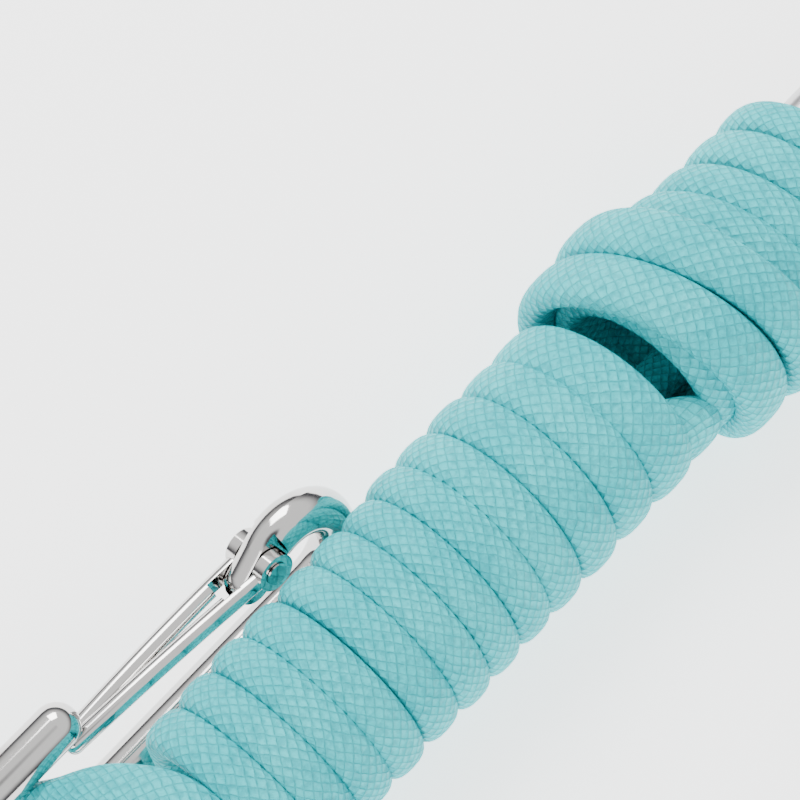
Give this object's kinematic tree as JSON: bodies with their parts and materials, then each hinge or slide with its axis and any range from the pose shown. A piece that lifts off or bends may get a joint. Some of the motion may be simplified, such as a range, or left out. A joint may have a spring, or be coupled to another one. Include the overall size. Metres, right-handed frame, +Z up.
{
  "type": "lead rope",
  "caption": "Flat-braided turquoise lead rope wound into a hank, with a forked-gate rod snap held by the rope's eye.",
  "frame": {"origin": "centre of the flat face that the hank rests on, half way along the hank", "axes": "+X along the hank away from the snap's hook, +Y towards the flank that the snap lies on, +Z up"},
  "size_m": [0.2513, 0.0663, 0.046],
  "materials": {
    "rope": "braided, soft sheen",
    "ferrule_metal": "satin",
    "snap_metal": "polished, lightly worn",
    "spring_wire": "satin"
  },
  "bodies": {
    "rope_and_snap": {"rope_hank": "rope", "snap_eye_loop": "rope", "eye_ferrule": "ferrule_metal", "tail_end_cap": "ferrule_metal", "snap_body": "snap_metal", "gate_pivot_pin": "snap_metal", "gate_spring": "spring_wire"},
    "gate": {"snap_gate": "snap_metal"}
  },
  "joints": [
    {"name": "gate_hinge", "type": "hinge", "parent": "rope_and_snap", "child": "gate", "pos_m": [-0.04502, 0.02773, 0.02207], "axis": [0, -0.9426, 0.3338], "range_deg": [0, 15], "stiffness_Nm_per_rad": 0.4, "springref_deg": -28.65}
  ]
}
